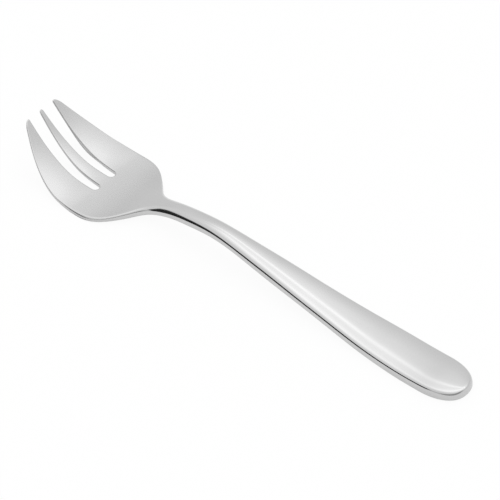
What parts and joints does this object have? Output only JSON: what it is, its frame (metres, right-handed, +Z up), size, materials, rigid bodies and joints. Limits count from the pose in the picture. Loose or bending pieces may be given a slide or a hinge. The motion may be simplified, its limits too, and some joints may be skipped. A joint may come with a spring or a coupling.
{
  "type": "oyster fork",
  "caption": "Oyster fork of polished stainless steel with a flared head of tapering upturned tines, a narrow arched neck and a plain rounded handle, for lifting shellfish out of the shell.",
  "frame": {"origin": "middle of the fork's bounding box in plan, on the table it lies on", "axes": "+X along the length from the tine tips to the handle end, +Y across the width, +Z up from the table, with the tines curving up"},
  "size_m": [0.143, 0.028, 0.0142],
  "materials": {
    "steel": "polished stainless steel, a little more satin on the head than on the handle"
  },
  "bodies": {
    "root": {"fork": "steel"}
  },
  "joints": []
}
